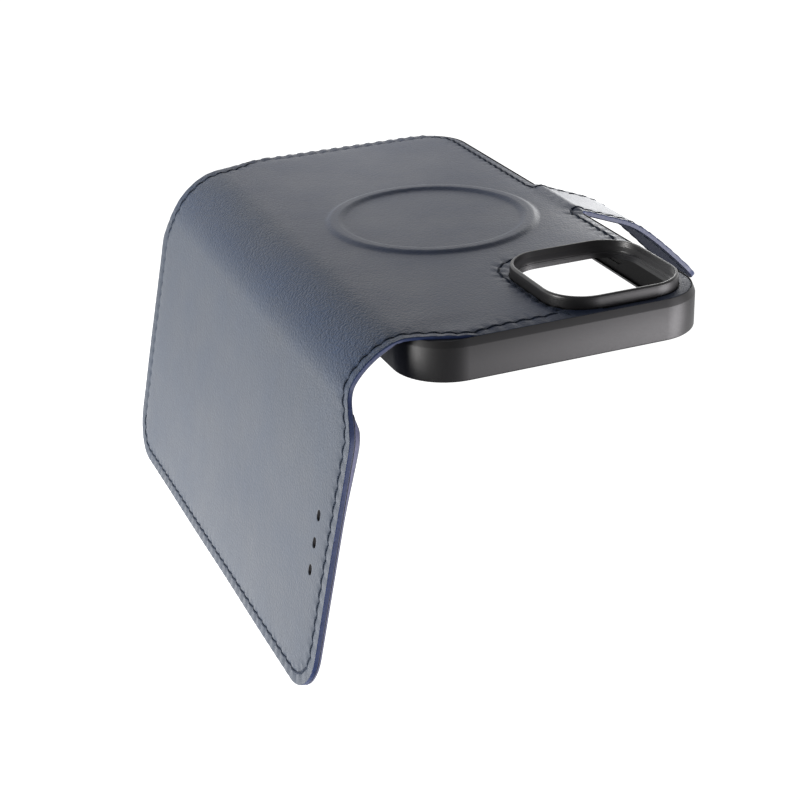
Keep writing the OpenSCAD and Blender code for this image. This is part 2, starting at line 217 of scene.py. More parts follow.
def round_cover(start, stops):
    """The edge from s = start along the low end, round the cover's free side and back."""
    cover_in = COVER_END - COVER_CORNER
    return [
        run([start, *stops, cover_in], edge_inset),
        arc(cover_in, COVER_CORNER, COVER_CORNER, -90, 0),
        rise(COVER_END, [COVER_CORNER, CASE_H - COVER_CORNER]),
        arc(cover_in, CASE_H - COVER_CORNER, COVER_CORNER, 0, 90),
        run([cover_in, *stops[::-1], start], high_edge),
    ]


def round_strap(start, stops):
    """The edge from s = start along the strap's high side, round its tip and back."""
    return [
        run([start, *stops, TIP_IN], STRAP_HIGH),
        arc(TIP_IN, STRAP_HIGH - TIP_CORNER, TIP_CORNER, 90, 180),
        arc(TIP_IN, STRAP_LOW + TIP_CORNER, TIP_CORNER, 180, 270),
        run([TIP_IN, *stops[::-1], start], STRAP_LOW),
    ]


def outer_outline():
    """The whole outer leather, anticlockwise from the back's lower corner."""
    corner = CORNER - EDGE_IN
    free_in = FREE_EDGE + corner
    low = EDGE_IN + corner
    root, *stops = STRAP_CUTS
    return joined(
        arc(free_in, low, corner, 180, 270),
        *round_cover(free_in, [SPINE_MID]),
        arc(free_in, CASE_H - low, corner, 90, 180),
        rise(FREE_EDGE, [CASE_H - low, STRAP_HIGH + ROOT]),
        arc(root, STRAP_HIGH + ROOT, ROOT, 0, -90),
        *round_strap(root, stops),
        arc(root, STRAP_LOW - ROOT, ROOT, 90, 0),
        rise(FREE_EDGE, [STRAP_LOW - ROOT, low]),
    )


def cover_outline(start, stops=()):
    """The cover's outline from s = start to its free edge."""
    ends = [float(edge(np.array(start))) for edge in (high_edge, edge_inset)]
    return joined(*round_cover(start, stops), rise(start, ends))


def rounded(s, z, w, h, r, step=9.0):
    """A rectangle with round corners, anticlockwise from its lower right."""
    a, b = w / 2 - r, h / 2 - r
    return joined(
        arc(s + a, z - b, r, -90, 0, step),
        arc(s + a, z + b, r, 0, 90, step),
        arc(s - a, z + b, r, 90, 180, step),
        arc(s - a, z - b, r, 180, 270, step),
    )


def strap_outline(start, stops):
    return joined(rise(start, [STRAP_LOW, STRAP_HIGH]), *round_strap(start, stops))


SLOT_FIRST = COVER_FOLD + 32.9
SLOT_PITCH = 6.85
slot_holes = [
    rounded(SLOT_FIRST + i * SLOT_PITCH, CASE_H - 10.2, 2.5, 1.7, 0.8, 20.0) for i in range(3)
]
camera_hole = rounded(RIM_S, RIM_Z, RIM_W + 0.2, RIM_H + 0.2, RIM_CORNER + 0.1, 5.0)


def resample(path, spacing, start=0.0):
    """Points at even distances along a closed path, and the direction there."""
    closed = np.concatenate([path, path[:1]])
    steps = np.linalg.norm(np.diff(closed, axis=0), axis=1)
    length = np.concatenate([[0], np.cumsum(steps)])
    n = int(round(length[-1] / spacing))
    at = start + np.arange(n) * length[-1] / n
    point = np.stack([np.interp(at, length, closed[:, k]) for k in (0, 1)], 1)
    ahead = np.interp(np.add.outer(at, [-0.3, 0.3]) % length[-1], length, np.arange(len(length)))
    ends = [np.stack([np.interp(ahead[:, e], np.arange(len(length)), closed[:, k])
                      for k in (0, 1)], 1) for e in (0, 1)]
    way = ends[1] - ends[0]
    return point, way / np.linalg.norm(way, axis=1)[:, None]


# ---- seams

STRAP_SEAM = 2.1
PITCH = 3.55
SEAM_FREE = FREE_EDGE + 2.7
COVER_SEAM_SIDE = 2.8
COVER_SEAM_LOW = 3.2
END_SEAM = 3.6


def seam_inset(s):
    wander = 1.1 * np.exp(-(((s - 24) / 5) ** 2))
    return edge_inset(s) + 3.0 - wander + 0.3 * smooth((s - NOTCH_COVER) / 10)


def seam_path():
    """The seam round the whole leather, which steps round the camera window."""
    free_r, turn_r, window_r = 8.0, 2.8, 9.0
    low = END_SEAM + free_r
    side = COVER_END - COVER_CORNER
    reach = np.array([COVER_CORNER - COVER_SEAM_SIDE, COVER_CORNER - COVER_SEAM_LOW])
    bend = arc(0, 0, 1, -90, 0) * reach + [side, COVER_CORNER]
    tip_r = TIP_CORNER - STRAP_SEAM
    up, down = STRAP_HIGH - STRAP_SEAM, STRAP_LOW + STRAP_SEAM
    window_low = RIM_Z - RIM_H / 2 - 3.0
    window_s = RIM_S + RIM_W / 2 + 1.1
    top = CASE_H - END_SEAM
    beside = np.array([[window_s - 2.2, top], [window_s - 0.6, top - 6.5],
                       [window_s, RIM_Z + 5], [window_s, window_low + window_r]])
    return joined(
        arc(SEAM_FREE + free_r, low, free_r, 180, 270),
        run([SEAM_FREE + free_r, side], seam_inset),
        bend,
        rise(COVER_END - COVER_SEAM_SIDE, [COVER_CORNER, CASE_H - COVER_CORNER]),
        (bend * [1, -1] + [0, CASE_H])[::-1],
        run([side, window_s - 2.2], lambda s: CASE_H - seam_inset(s)),
        beside,
        arc(window_s - window_r, window_low + window_r, window_r, 0, -90),
        run([window_s - window_r, SEAM_FREE + turn_r], window_low),
        arc(SEAM_FREE + turn_r, window_low - turn_r, turn_r, 90, 180),
        rise(SEAM_FREE, [window_low - turn_r, up + turn_r]),
        arc(SEAM_FREE - turn_r, up + turn_r, turn_r, 0, -90),
        run([SEAM_FREE - turn_r, TIP_IN], up),
        arc(TIP_IN, up - tip_r, tip_r, 90, 180),
        arc(TIP_IN, down + tip_r, tip_r, 180, 270),
        run([TIP_IN, SEAM_FREE - turn_r], down),
        arc(SEAM_FREE - turn_r, down - turn_r, turn_r, 90, 0),
        rise(SEAM_FREE, [down - turn_r, low]),
    )


SEAM = seam_path()
SEAM_FINE, _ = resample(SEAM, 0.1)
STITCH_AT, STITCH_WAY = resample(SEAM, PITCH, 2.1)
NEEDLE_HOLES = STITCH_AT - STITCH_WAY * PITCH / 2


def tree_of(points):
    tree = KDTree(len(points))
    for i, p in enumerate(points):
        tree.insert((p[0], p[1], 0), i)
    tree.balance()
    return tree


def distance(tree, s, z):
    return np.array([tree.find((a, b, 0))[2] for a, b in zip(s, z)])


seam_tree = tree_of(SEAM_FINE)
hole_tree = tree_of(NEEDLE_HOLES)


def low_edge(s, z):
    """1 along the back's low end, where the leather is puffed up between stitches."""
    return smooth((5 - z) / 1.5) * smooth((34 - s) / 5) * smooth((s + 34) / 4)


def sunk_seam(s, z):
    """1 where the thread lies deep in the leather: along the low end of the back and the cover."""
    cover = smooth((s - 49) / 6) * smooth((COVER_END - 9 - s) / 4)
    return low_edge(s, z) + smooth((5 - z) / 1.5) * cover


def ring_shape(s, z):
    r = np.hypot(s, z - RING_Z)
    return smooth((r - RING_R + 2.7) / 1.5) - smooth((r - RING_R - 0.7) / 1.7)


def tray_edge_drop(s, z):
    """How far the leather is pressed down towards the tray's edges and the camera window."""
    half = np.array([CASE_W / 2 - EDGE_IN, CASE_H / 2 - EDGE_IN])
    corner = CORNER - EDGE_IN
    across = np.stack([np.abs(np.minimum(s, 0)), np.abs(z - CASE_H / 2)]) - (half - corner)[:, None]
    outside = np.hypot(*np.maximum(across, 0)) + np.minimum(across.max(0), 0)
    edge = 1 - smooth((corner - outside) / 2.9)
    strap = (s < -20) * (1 - smooth((np.abs(z - RING_Z) - STRAP_HALF) / 3))
    edge = edge * (1 - smooth((s - 18) / 9)) * (1 - strap) * (1 - 0.85 * low_edge(s, z))
    window = np.stack([np.abs(s - RIM_S) - RIM_W / 2, np.abs(z - RIM_Z) - RIM_H / 2]) + RIM_CORNER
    beside = np.hypot(*np.maximum(window, 0)) + np.minimum(window.max(0), 0) - RIM_CORNER
    return np.maximum(0.6 * edge, 0.35 * (1 - smooth(beside / 2.0)))


def stitch_pull(s, z):
    """Leather drawn in at each needle hole and puffed up between them."""
    pull = np.zeros(len(s))
    for i, (a, b) in enumerate(zip(s, z)):
        _, k, far = hole_tree.find((a, b, 0))
        if far > 3.2:
            continue
        away = np.array([a, b]) - NEEDLE_HOLES[k]
        along = away @ STITCH_WAY[k]
        across = away[1] * STITCH_WAY[k][0] - away[0] * STITCH_WAY[k][1]
        pull[i] = 0.3 * math.exp(-((along / 0.8) ** 2) - (across / 2.2) ** 2)
        pull[i] += 0.14 * math.exp(-((along / 0.4) ** 2) - (across / 0.5) ** 2)
        if b < 5:
            puff = 0.4 * low_edge(a, b) * math.exp(-((along / 0.7) ** 2))
            pull[i] += puff * smooth((4.4 - b) / 1.5)
    return pull


def outer_height(s, z):
    """Height of the outer leather over the smooth bent line."""
    h = RING_RISE * ring_shape(s, z)
    groove = 0.15 + 0.25 * sunk_seam(s, z)
    h -= groove * np.exp(-((distance(seam_tree, s, z) / 0.5) ** 2))
    h -= stitch_pull(s, z) + tray_edge_drop(s, z)
    strap = smooth((STRAP_HALF - np.abs(z - RING_Z)) / 2)
    fold = 0.55 * strap * np.exp(-(((s + 36.6) / 1.6) ** 2))
    dent = 0.25 * np.exp(-np.hypot((s - 28.5) / 10, (z - CASE_H + 9) / 3.2) ** 2)
    waves = np.sin(s / 7.3 + 1.1) * np.sin(z / 23.0 + 0.4) + 0.4 * np.sin(z / 9.1 + s / 17)
    h += fold - dent + 0.1 * smooth((s - SPINE_START) / 8) * waves
    return np.maximum(h, inner_height(s, z) + EDGE_ROUND + 0.03)


def inner_height(s, z):
    return -LEATHER + RING_RISE * ring_shape(s, z)


# ---- meshes from flat outlines


def inside(points, loop):
    """Whether each point is inside a closed loop, by the even-odd rule."""
    x, y = points[:, 0], points[:, 1]
    found = np.zeros(len(points), bool)
    for (x0, y0), (x1, y1) in zip(loop, np.roll(loop, -1, 0)):
        if y0 == y1:
            continue
        crossed = (y0 > y) != (y1 > y)
        found ^= crossed & (x < (x1 - x0) * (y - y0) / (y1 - y0) + x0)
    return found


def offset_in(loop, d):
    """A closed anticlockwise loop moved in by d."""
    way = np.roll(loop, -1, 0) - np.roll(loop, 1, 0)
    way /= np.linalg.norm(way, axis=1)[:, None]
    return loop + d * np.stack([-way[:, 1], way[:, 0]], 1)


def grid(low, high, step):
    s, z = np.meshgrid(np.arange(low[0], high[0], step[0]), np.arange(low[1], high[1], step[1]))
    s = s + step[0] / 2 * (np.round((z - low[1]) / step[1]) % 2)
    return np.stack([s.ravel(), z.ravel()], 1)


FAR_IN = 9.0
CUT_SPACING = 0.5


def triangles(outline, holes, rounding, features, background, cuts):
    """Flat points, how far each lies inside an edge, and triangles over the outline."""
    loops = [outline] + holes
    points, depth, edges = [], [], []
    for k, loop in enumerate(loops):
        first = len(np.concatenate(points)) if points else 0
        n = len(loop)
        points.append(loop)
        depth.append(np.zeros(n))
        edges += [(first + i, first + (i + 1) % n) for i in range(n)]
    for k, loop in enumerate(loops):
        for d in rounding:
            points.append(offset_in(loop, -d if k else d))
            depth.append(np.full(len(loop), d))
    for cut in cuts:
        on = outline[np.abs(outline[:, 0] - cut) < 1e-6]
        low, high = on[:, 1].min(), on[:, 1].max()
        ends = np.array([0.0, *ROUNDING])
        count = int((high - low) / CUT_SPACING)
        between_ends = np.linspace(low + CUT_SPACING, high - CUT_SPACING, count)
        line = np.concatenate([low + ends, between_ends, (high - ends)[::-1]])
        line = np.column_stack([np.full(len(line), cut), line])
        first = len(np.concatenate(points))
        points.append(line)
        depth.append(np.full(len(line), FAR_IN))
        depth[-1][:4] = [0.0, *ROUNDING]
        depth[-1][-4:] = [*ROUNDING[::-1], 0.0]
        edges += [(first + i, first + i + 1) for i in range(len(line) - 1)]
    taken = np.concatenate(points)
    for layer, room in [(features, EDGE_ROUND), *background]:
        if not len(layer):
            continue
        ok = inside(layer, outline)
        for hole in holes:
            ok &= ~inside(layer, hole)
        layer = layer[ok]
        gap = distance(tree_of(taken), layer[:, 0], layer[:, 1])
        layer = layer[gap > room]
        points.append(layer)
        depth.append(np.full(len(layer), FAR_IN))
        taken = np.concatenate([taken, layer])
    every = np.concatenate(points)
    inward = np.concatenate(depth)
    verts, _, faces, origin, _, _ = delaunay_2d_cdt(
        [Vector(p) for p in every], edges, [], 0, 1e-5)
    flat = np.array([v[:] for v in verts])
    deep = np.array([min([inward[i] for i in o], default=FAR_IN) for o in origin])
    tris = np.array([f[:] for f in faces])
    centre = flat[tris].mean(1)
    keep = inside(centre, outline)
    for hole in holes:
        keep &= ~inside(centre, hole)
    tris = tris[keep]
    a, b, c = flat[tris[:, 0]], flat[tris[:, 1]], flat[tris[:, 2]]
    area = (b[:, 0] - a[:, 0]) * (c[:, 1] - a[:, 1]) - (b[:, 1] - a[:, 1]) * (c[:, 0] - a[:, 0])
    tris[area < 0] = tris[area < 0][:, ::-1]
    return flat, deep, tris[np.abs(area) > 1e-9]


def corner_normals(points, tris):
    a, b, c = points[tris[:, 0]], points[tris[:, 1]], points[tris[:, 2]]
    face = np.cross(b - a, c - a)
    total = np.zeros_like(points)
    for k in range(3):
        np.add.at(total, tris[:, k], face)
    return total / np.maximum(np.linalg.norm(total, axis=1), 1e-20)[:, None]


def open_edges(tris):
    """Directed edges that only one triangle has."""
    seen = {}
    for t in tris.tolist():
        for a, b in ((t[0], t[1]), (t[1], t[2]), (t[2], t[0])):
            seen[(a, b)] = True
    return [e for e in seen if (e[1], e[0]) not in seen]


def new_mesh(name, points, faces):
    mesh = bpy.data.meshes.new(name)
    mesh.from_pydata(points.tolist(), [], faces)
    return mesh


def add_object(name, mesh, materials):
    for m in materials:
        mesh.materials.append(m)
    obj = bpy.data.objects.new(name, mesh)
    bpy.context.scene.collection.objects.link(obj)
    return obj


NO_POINTS = np.zeros((0, 2))
EVERYWHERE = 1e9
OUTER, EDGE, INNER, HOLE = range(4)


def spot(point):
    """A flat point, rounded so that the top's and the bottom's can be matched."""
    return tuple(np.round(point, 4))


def between_s(flat, tris, low, high):
    middle = flat[tris].mean(1)[:, 0]
    return tris[(middle > low) & (middle < high)]


class Panel:
    """A flat-cut layer of the case, bent into place, which may be cut into several pieces."""

    def __init__(self, outline, top, bottom, holes=(), round_top=True, round_bottom=False,
                 features=NO_POINTS, background=(), back_features=NO_POINTS, cuts=()):
        holes = list(holes)
        self.hole_boxes = [(hole.min(0) - 0.12, hole.max(0) + 0.12) for hole in holes]
        sides = []
        both = [(top, round_top, features, -1), (bottom, round_bottom, back_features, 1)]
        for height, is_round, feature, sign in both:
            steps = ROUNDING if is_round else [EDGE_ROUND]
            flat, deep, tris = triangles(outline, holes, steps, feature, background, cuts)
            h = height(flat[:, 0], flat[:, 1]) if callable(height) else np.full(len(flat), height)
            if is_round:
                d = np.clip(EDGE_ROUND - deep, 0, None)
                h = h + sign * (EDGE_ROUND - np.sqrt(EDGE_ROUND ** 2 - d ** 2))
            points = place(flat[:, 0], flat[:, 1], h)
            sides.append([flat, deep, tris, h, points, corner_normals(points, tris)])
        self.top, self.bottom = sides

    def edge_slot(self, corners):
        """The cut edge's material: near black inside the holes as painted shade, edge paint
        elsewhere.
        """
        middle = corners.mean(0)
        in_hole = any((middle > low).all() and (middle < high).all()
                      for low, high in self.hole_boxes)
        return HOLE if in_hole else EDGE

    def wall(self, tris, below, everything, low, high):
        """The faces of the cut edge, their materials, and a normal for each corner."""
        flat, deep = self.top[:2]
        quads, sums = [], {}
        for a, b in open_edges(tris):
            quad = [a, below[spot(flat[a])], below[spot(flat[b])], b]
            p, q, r = everything[quad[:3]]
            out = np.cross(q - p, r - q)
            out /= max(np.linalg.norm(out), 1e-20)
            at = flat[a][0]
            at_cut = abs(at - flat[b][0]) < 1e-6 and min(abs(at - low), abs(at - high)) < 1e-3
            is_cut = min(deep[a], deep[b]) > 1 or at_cut
            quads.append((quad, out, is_cut))
            if not is_cut:
                for v in (a, b):
                    sums[v] = sums.get(v, 0) + out
        loops = []
        for quad, out, is_cut in quads:
            for v in (quad[0], quad[0], quad[3], quad[3]):
                way = out if is_cut else sums[v] / max(np.linalg.norm(sums[v]), 1e-20)
                loops.append(way if way @ out > 0.8 else out)
        faces = [quad for quad, _, _ in quads]
        return faces, [self.edge_slot(flat[[quad[0], quad[3]]]) for quad in faces], loops

    def piece(self, name, materials, low=-EVERYWHERE, high=EVERYWHERE):
        """The part between two values of s, as a closed mesh."""
        flat, deep, tris, h, points, normals = self.top
        flat2, _, tris2, h2, points2, normals2 = self.bottom
        tris, tris2 = between_s(flat, tris, low, high), between_s(flat2, tris2, low, high)
        n = len(points)
        below = {spot(flat2[i]): n + i for i in set(tris2.ravel().tolist())}
        everything = np.concatenate([points, points2])
        faces, slots, loops = self.wall(tris, below, everything, low, high)
        tops = [self.edge_slot(flat[t]) if max(deep[t]) < 0.1 else OUTER for t in tris]
        faces = tris.tolist() + [[n + i for i in t[::-1]] for t in tris2.tolist()] + faces
        slots = tops + [INNER] * len(tris2) + slots
        under = [-normals2[i] for t in tris2 for i in t[::-1]]
        loops = [normals[i] for t in tris for i in t] + under + loops
        used = sorted({i for f in faces for i in f})
        new = {old: i for i, old in enumerate(used)}
        mesh = new_mesh(name, everything[used], [[new[i] for i in f] for f in faces])
        mesh.polygons.foreach_set("material_index", slots)
        mesh.polygons.foreach_set("use_smooth", [True] * len(faces))
        where = np.concatenate([np.column_stack([flat, h]), np.column_stack([flat2, h2])])[used]
        add_flat(mesh, where)
        mesh.update()
        mesh.normals_split_custom_set([tuple(v) for v in loops])
        return add_object(name, mesh, materials)


def add_flat(mesh, where):
    """Stores each point's place on the flat leather, in millimetres, for the materials."""
    attribute = mesh.attributes.new("flat", "FLOAT_VECTOR", "POINT")
    attribute.data.foreach_set("vector", np.asarray(where, np.float32).ravel())


def loft(name, loops, materials, closed_ends=False, slots=None, angle=32):
    """A skin over closed loops of equally many points, each an array of x, y, z in metres."""
    n = len(loops[0])
    points = np.concatenate(loops)
    faces, index = [], []
    for k in range(len(loops) - 1):
        for i in range(n):
            j = (i + 1) % n
            faces.append((k * n + i, k * n + j, (k + 1) * n + j, (k + 1) * n + i))
            index.append(slots[k] if slots else 0)
    if closed_ends:
        faces += [tuple(range(n))[::-1], tuple(range((len(loops) - 1) * n, len(loops) * n))]
        index += [index[0], index[-1]]
    mesh = new_mesh(name, points, faces)
    mesh.polygons.foreach_set("material_index", index)
    finish_mesh(mesh, angle)
    return add_object(name, mesh, materials)


def finish_mesh(mesh, angle=32):
    """Outward faces, and smooth shading up to an angle."""
    work = bmesh.new()
    work.from_mesh(mesh)
    close_up(work, mesh, 1e-7, angle)


def close_up(work, mesh, reach, angle=32):
    """Writes a mesh with points nearer than reach made one, and its faces turned outwards."""
    bmesh.ops.remove_doubles(work, verts=work.verts, dist=reach)
    bmesh.ops.recalc_face_normals(work, faces=work.faces)
    work.to_mesh(mesh)
    work.free()
    shade_smooth(mesh, angle)


def shade_smooth(mesh, angle=32):
    mesh.polygons.foreach_set("use_smooth", [True] * len(mesh.polygons))
    mesh.set_sharp_from_angle(angle=math.radians(angle))


# ---- materials


class Look:
    """A procedural material built node by node."""

    def __init__(self, name, **shader):
        self.material = bpy.data.materials.new(name)
        self.material.use_nodes = True
        self.tree = self.material.node_tree
        self.shader = self.tree.nodes["Principled BSDF"]
        for socket, value in shader.items():
            self.shader.inputs[socket.replace("_", " ")].default_value = value

    def node(self, kind, inputs=None, **settings):
        made = self.tree.nodes.new("ShaderNode" + kind)
        for key, value in settings.items():
            setattr(made, key, value)
        for socket, value in (inputs or {}).items():
            self.put(made.inputs[socket], value)
        return made

    def put(self, socket, value):
        if isinstance(value, bpy.types.NodeSocket):
            self.tree.links.new(value, socket)
        else:
            socket.default_value = value

    def set(self, socket, value):
        self.put(self.shader.inputs[socket], value)

    def math(self, operation, a, b=0.0, c=0.0):
        return self.node("Math", {0: a, 1: b, 2: c}, operation=operation).outputs[0]

    def ramp(self, value, stops):
        made = self.node("ValToRGB", {"Fac": value})
        while len(made.color_ramp.elements) < len(stops):
            made.color_ramp.elements.new(0.5)
        for element, (position, color) in zip(made.color_ramp.elements, stops):
            element.position = position
            element.color = (*color, 1.0)
        return made.outputs["Color"]

    def two_tone(self, value, dark, light, low=0.3, high=0.7):
        return self.ramp(value, [(low, dark), (high, light)])

    def noise(self, where, scale, detail=3.0, roughness=0.5):
        made = self.node("TexNoise", {"Vector": where, "Scale": scale, "Detail": detail,
                                      "Roughness": roughness})
        return made.outputs["Fac"]

    def flat(self):
        return self.node("Attribute", attribute_name="flat").outputs["Vector"]

    def in_mm(self):
        """Place in the piece, in millimetres."""
        place_node = self.node("TexCoord").outputs["Object"]
        return self.node("VectorMath", {0: place_node, 3: 1000.0}, operation="SCALE").outputs[0]

    def bump(self, height, strength, distance_mm, normal=None):
        made = self.node("Bump", {"Height": height, "Strength": strength,
                                  "Distance": distance_mm * MM})
        if normal is not None:
            self.put(made.inputs["Normal"], normal)
        return made.outputs["Normal"]


def scaled(color, k):
    return tuple(k * c for c in color)


def leather(name, color, grain=1.0, roughness=0.48, light_and_shade_tints=()):
    """Grained leather, which shows its grain most where it is stretched over the spine."""
    look = Look(name, Sheen_Weight=0.05, Sheen_Roughness=0.42, IOR=1.48)
    look.shader.inputs["Sheen Tint"].default_value = (0.86, 0.92, 1.0, 1.0)
    where = look.flat()
    pebbles = look.node("TexVoronoi", {"Vector": where, "Scale": 1.75, "Smoothness": 0.35,
                                       "Randomness": 0.9}, feature="SMOOTH_F1").outputs["Distance"]
    fine = look.noise(where, 4.5, 4.0)
    clouds = look.noise(where, 0.055, 3.0)
    rubs = look.noise(where, 0.5, 5.0, 0.62)
    tone = look.math("MULTIPLY_ADD", clouds, 0.6, look.math("MULTIPLY", rubs, 0.4))
    dye_and_painted_shade = look.ramp(
        tone, [(0.32, scaled(color, 0.82)), (0.52, color), (0.72, scaled(color, 1.22))])
    along = look.node("SeparateXYZ", {0: where}).outputs[0]
    # Painted shade and light: the dyed colour is multiplied along s, darker and bluer over the
    # spine, less blue on the cover
    if light_and_shade_tints:
        part = look.node(
            "MapRange", {"Value": along, "From Min": 30.0, "From Max": 66.0}).outputs[0]
        painted_shade_mix = look.node("Mix", {"Factor": 1.0, 6: dye_and_painted_shade, 7: look.ramp(part, light_and_shade_tints)},
                           data_type="RGBA", blend_type="MULTIPLY")
        dye_and_painted_shade = painted_shade_mix.outputs[2]
    look.set("Base Color", dye_and_painted_shade)
    patches = look.math("MULTIPLY_ADD", clouds, 0.16, roughness - 0.08)
    look.set("Roughness", look.math("MULTIPLY_ADD", fine, 0.12, look.math("ADD", patches, -0.06)))
    relief = look.math("MULTIPLY_ADD", fine, 0.35, look.math("MULTIPLY", pebbles, -1.0))
    bent = look.math("POWER", look.math("DIVIDE", look.math("SUBTRACT", along, 46.0), 13.0), 2.0)
    stretched = look.math("EXPONENT", look.math("MULTIPLY", bent, -1.0))
    first = look.bump(relief, look.math("MULTIPLY_ADD", stretched, 0.65 * grain, 0.28 * grain), 0.2)
    look.set("Normal", look.bump(clouds, 0.25, 0.6, first))
    return look.material


def painted_edge(name, dark, light):
    look = Look(name, IOR=1.5)
    where = look.flat()
    brushed = look.noise(where, 1.2, 4.0, 0.6)
    look.set("Base Color", look.two_tone(brushed, dark, light))
    look.set("Roughness", look.math("MULTIPLY_ADD", brushed, 0.2, 0.36))
    look.set("Normal", look.bump(brushed, 0.35, 0.08))
    return look.material


def thread():
    look = Look("sewing_thread", IOR=1.4)
    where = look.flat()
    split = look.node("SeparateXYZ", {0: where})
    twist = look.math("SINE", look.math("MULTIPLY_ADD", split.outputs[0], 14.0,
                                        look.math("MULTIPLY", split.outputs[1], 9.0)))
    fuzz = look.noise(where, 9.0, 3.0)
    look.set("Base Color", look.two_tone(fuzz, (0.002, 0.006, 0.016), (0.006, 0.018, 0.044)))
    look.set("Roughness", look.math("MULTIPLY_ADD", fuzz, 0.2, 0.6))
    look.set("Normal", look.bump(twist, 0.5, 0.08))
    return look.material


def moulded(name, color, roughness, grain, scale=2.4, ior=1.5):
    """Moulded plastic with a fine spark-eroded grain."""
    look = Look(name, IOR=ior)
    where = look.in_mm()
    grains = look.noise(where, scale, 4.0, 0.6)
    broad = look.noise(where, 0.05, 2.0)
    look.set("Base Color", look.two_tone(broad, scaled(color, 0.88), scaled(color, 1.12)))
    look.set("Roughness", look.math("MULTIPLY_ADD", grains, 0.14, roughness - 0.07))
    look.set("Normal", look.bump(grains, grain, 0.03))
    return look.material


def suede():
    look = Look("suede", Roughness=0.95, IOR=1.2)
    nap = look.noise(look.flat(), 3.0, 4.0)
    look.set("Base Color", look.two_tone(nap, (0.012, 0.015, 0.028), (0.024, 0.028, 0.046)))
    return look.material


def microfibre():
    look = Look("microfibre", Sheen_Weight=0.7, Sheen_Roughness=0.4)
    where = look.in_mm()
    fluff = look.noise(where, 7.0, 5.0, 0.7)
    nap = look.noise(where, 0.12, 3.0)
    dark, light = (0.022, 0.024, 0.032), (0.038, 0.041, 0.052)
    look.set("Base Color", look.two_tone(nap, dark, light, 0.35, 0.65))
    look.set("Roughness", 0.9)
    look.set("Normal", look.bump(fluff, 0.6, 0.15))
    return look.material


def metal(name, color, roughness):
    look = Look(name, Metallic=1.0)
    where = look.in_mm()
    marks = look.noise(where, 0.8, 4.0)
    look.set("Base Color", look.two_tone(marks, scaled(color, 0.9), color))
    look.set("Roughness", look.math("MULTIPLY_ADD", marks, 0.2, roughness - 0.1))
    return look.material


def board():
    look = Look("grey_board", Roughness=0.95)
    where = look.in_mm()
    fibres = look.noise(where, 3.0, 5.0, 0.7)
    look.set("Base Color", look.two_tone(fibres, (0.36, 0.33, 0.27), (0.5, 0.47, 0.39)))
    look.set("Normal", look.bump(fibres, 0.4, 0.1))
    return look.material


NAVY = (0.019, 0.032, 0.072)
# Colour multipliers along s: painted shade makes the spine darker and bluer, painted light makes
# the lit cover less blue
ON_BACK, SPINE_PAINTED_SHADE, COVER_PAINTED_LIGHT = (1.0, 1.0, 1.0), (0.3, 0.68, 0.82), (1.0, 0.92, 0.68)
outer_look = leather("navy_leather", NAVY, roughness=0.43, light_and_shade_tints=[
    (0.14, ON_BACK), (0.24, SPINE_PAINTED_SHADE), (0.55, SPINE_PAINTED_SHADE), (0.8, COVER_PAINTED_LIGHT)])
lining_look = leather("lining_leather", (0.03, 0.036, 0.062), grain=0.55, roughness=0.55)
pocket_look = leather("pocket_leather", (0.034, 0.042, 0.07), grain=0.7)
edge_look = painted_edge("edge_paint", (0.012, 0.024, 0.08), (0.023, 0.041, 0.122))
inner_edge_look = painted_edge("inner_edge_paint", (0.115, 0.122, 0.215), (0.185, 0.192, 0.3))
# Painted shade: the walls inside the camera window and the sound slots are near black, for the
# shade in the holes
hole_shade_look = moulded("hole_wall_painted_shade", (0.004, 0.004, 0.005), 0.8, 0.2)
thread_look = thread()
tray_look = moulded("tray_plastic", (0.006, 0.006, 0.007), 0.48, 0.1)
# Painted shade: the tray's inside surfaces and the button caps' hidden ends get a darker, less
# reflective copy of the tray plastic
tray_inside_shaded_look = moulded("tray_inner_plastic_painted_shade", (0.003, 0.003, 0.003), 0.7, 0.2, ior=1.25)
rim_look = moulded("rim_plastic", (0.011, 0.011, 0.012), 0.36, 0.12, ior=1.7)
rim_inner_look = moulded("rim_inner_plastic", (0.024, 0.024, 0.026), 0.5, 0.5, 1.4)
fibre_look = microfibre()
suede_look = suede()

# ---- leather, lining and pockets

leather_marks = [SEAM_FINE[::8]]
fine_path, fine_way = resample(SEAM, 0.8)
for side in (-0.9, -0.4, 0.4, 0.9):
    leather_marks.append(fine_path + side * np.stack([-fine_way[:, 1], fine_way[:, 0]], 1))
ring_marks = [arc(0, RING_Z, RING_R + d, 0, 357, 3.0) for d in np.arange(-3.4, 3.5, 0.5)]
spine_grid = grid((SPINE_START - 4, 4), (SPINE_END + 6, CASE_H - 4), (0.9, 2.6))
strap_grid = grid((STRAP_TIP, STRAP_LOW), (SPINE_START - 73, STRAP_HIGH), (1.1, 1.8))
back_grid = grid((FREE_EDGE, 0), (COVER_END, CASE_H), (2.2, 2.2))
plain_grid = grid((FREE_EDGE, 0), (COVER_END, CASE_H), (4.0, 4.0))
bend_grids = [(spine_grid, 0.5), (strap_grid, 0.5)]

hide = Panel(
    outer_outline(), outer_height, inner_height, holes=[camera_hole] + slot_holes,
    features=np.concatenate(leather_marks + ring_marks), back_features=np.concatenate(ring_marks),
    background=bend_grids + [(back_grid, 1.1)], cuts=[SPINE_MID] + STRAP_CUTS)

# Where leather that spans two bodies bends: the bodies, and from which s to which
TO_SPINE = (("tray", "spine"), (37.0, 46.6))
TO_COVER = (("spine", "cover"), (48.3, 59.4))
STRAP_BENDS = [(STRAP_CUTS[0], STRAP_CUTS[1] + 0.2), (STRAP_CUTS[1] - 0.4, STRAP_CUTS[2] + 0.2),
               (STRAP_CUTS[2] - 0.4, STRAP_CUTS[3] + 0.2), (STRAP_CUTS[3] - 0.4, -60.4)]
STRAP_BODIES = ["tray", "strap_1", "strap_2", "strap_3", "tab"]


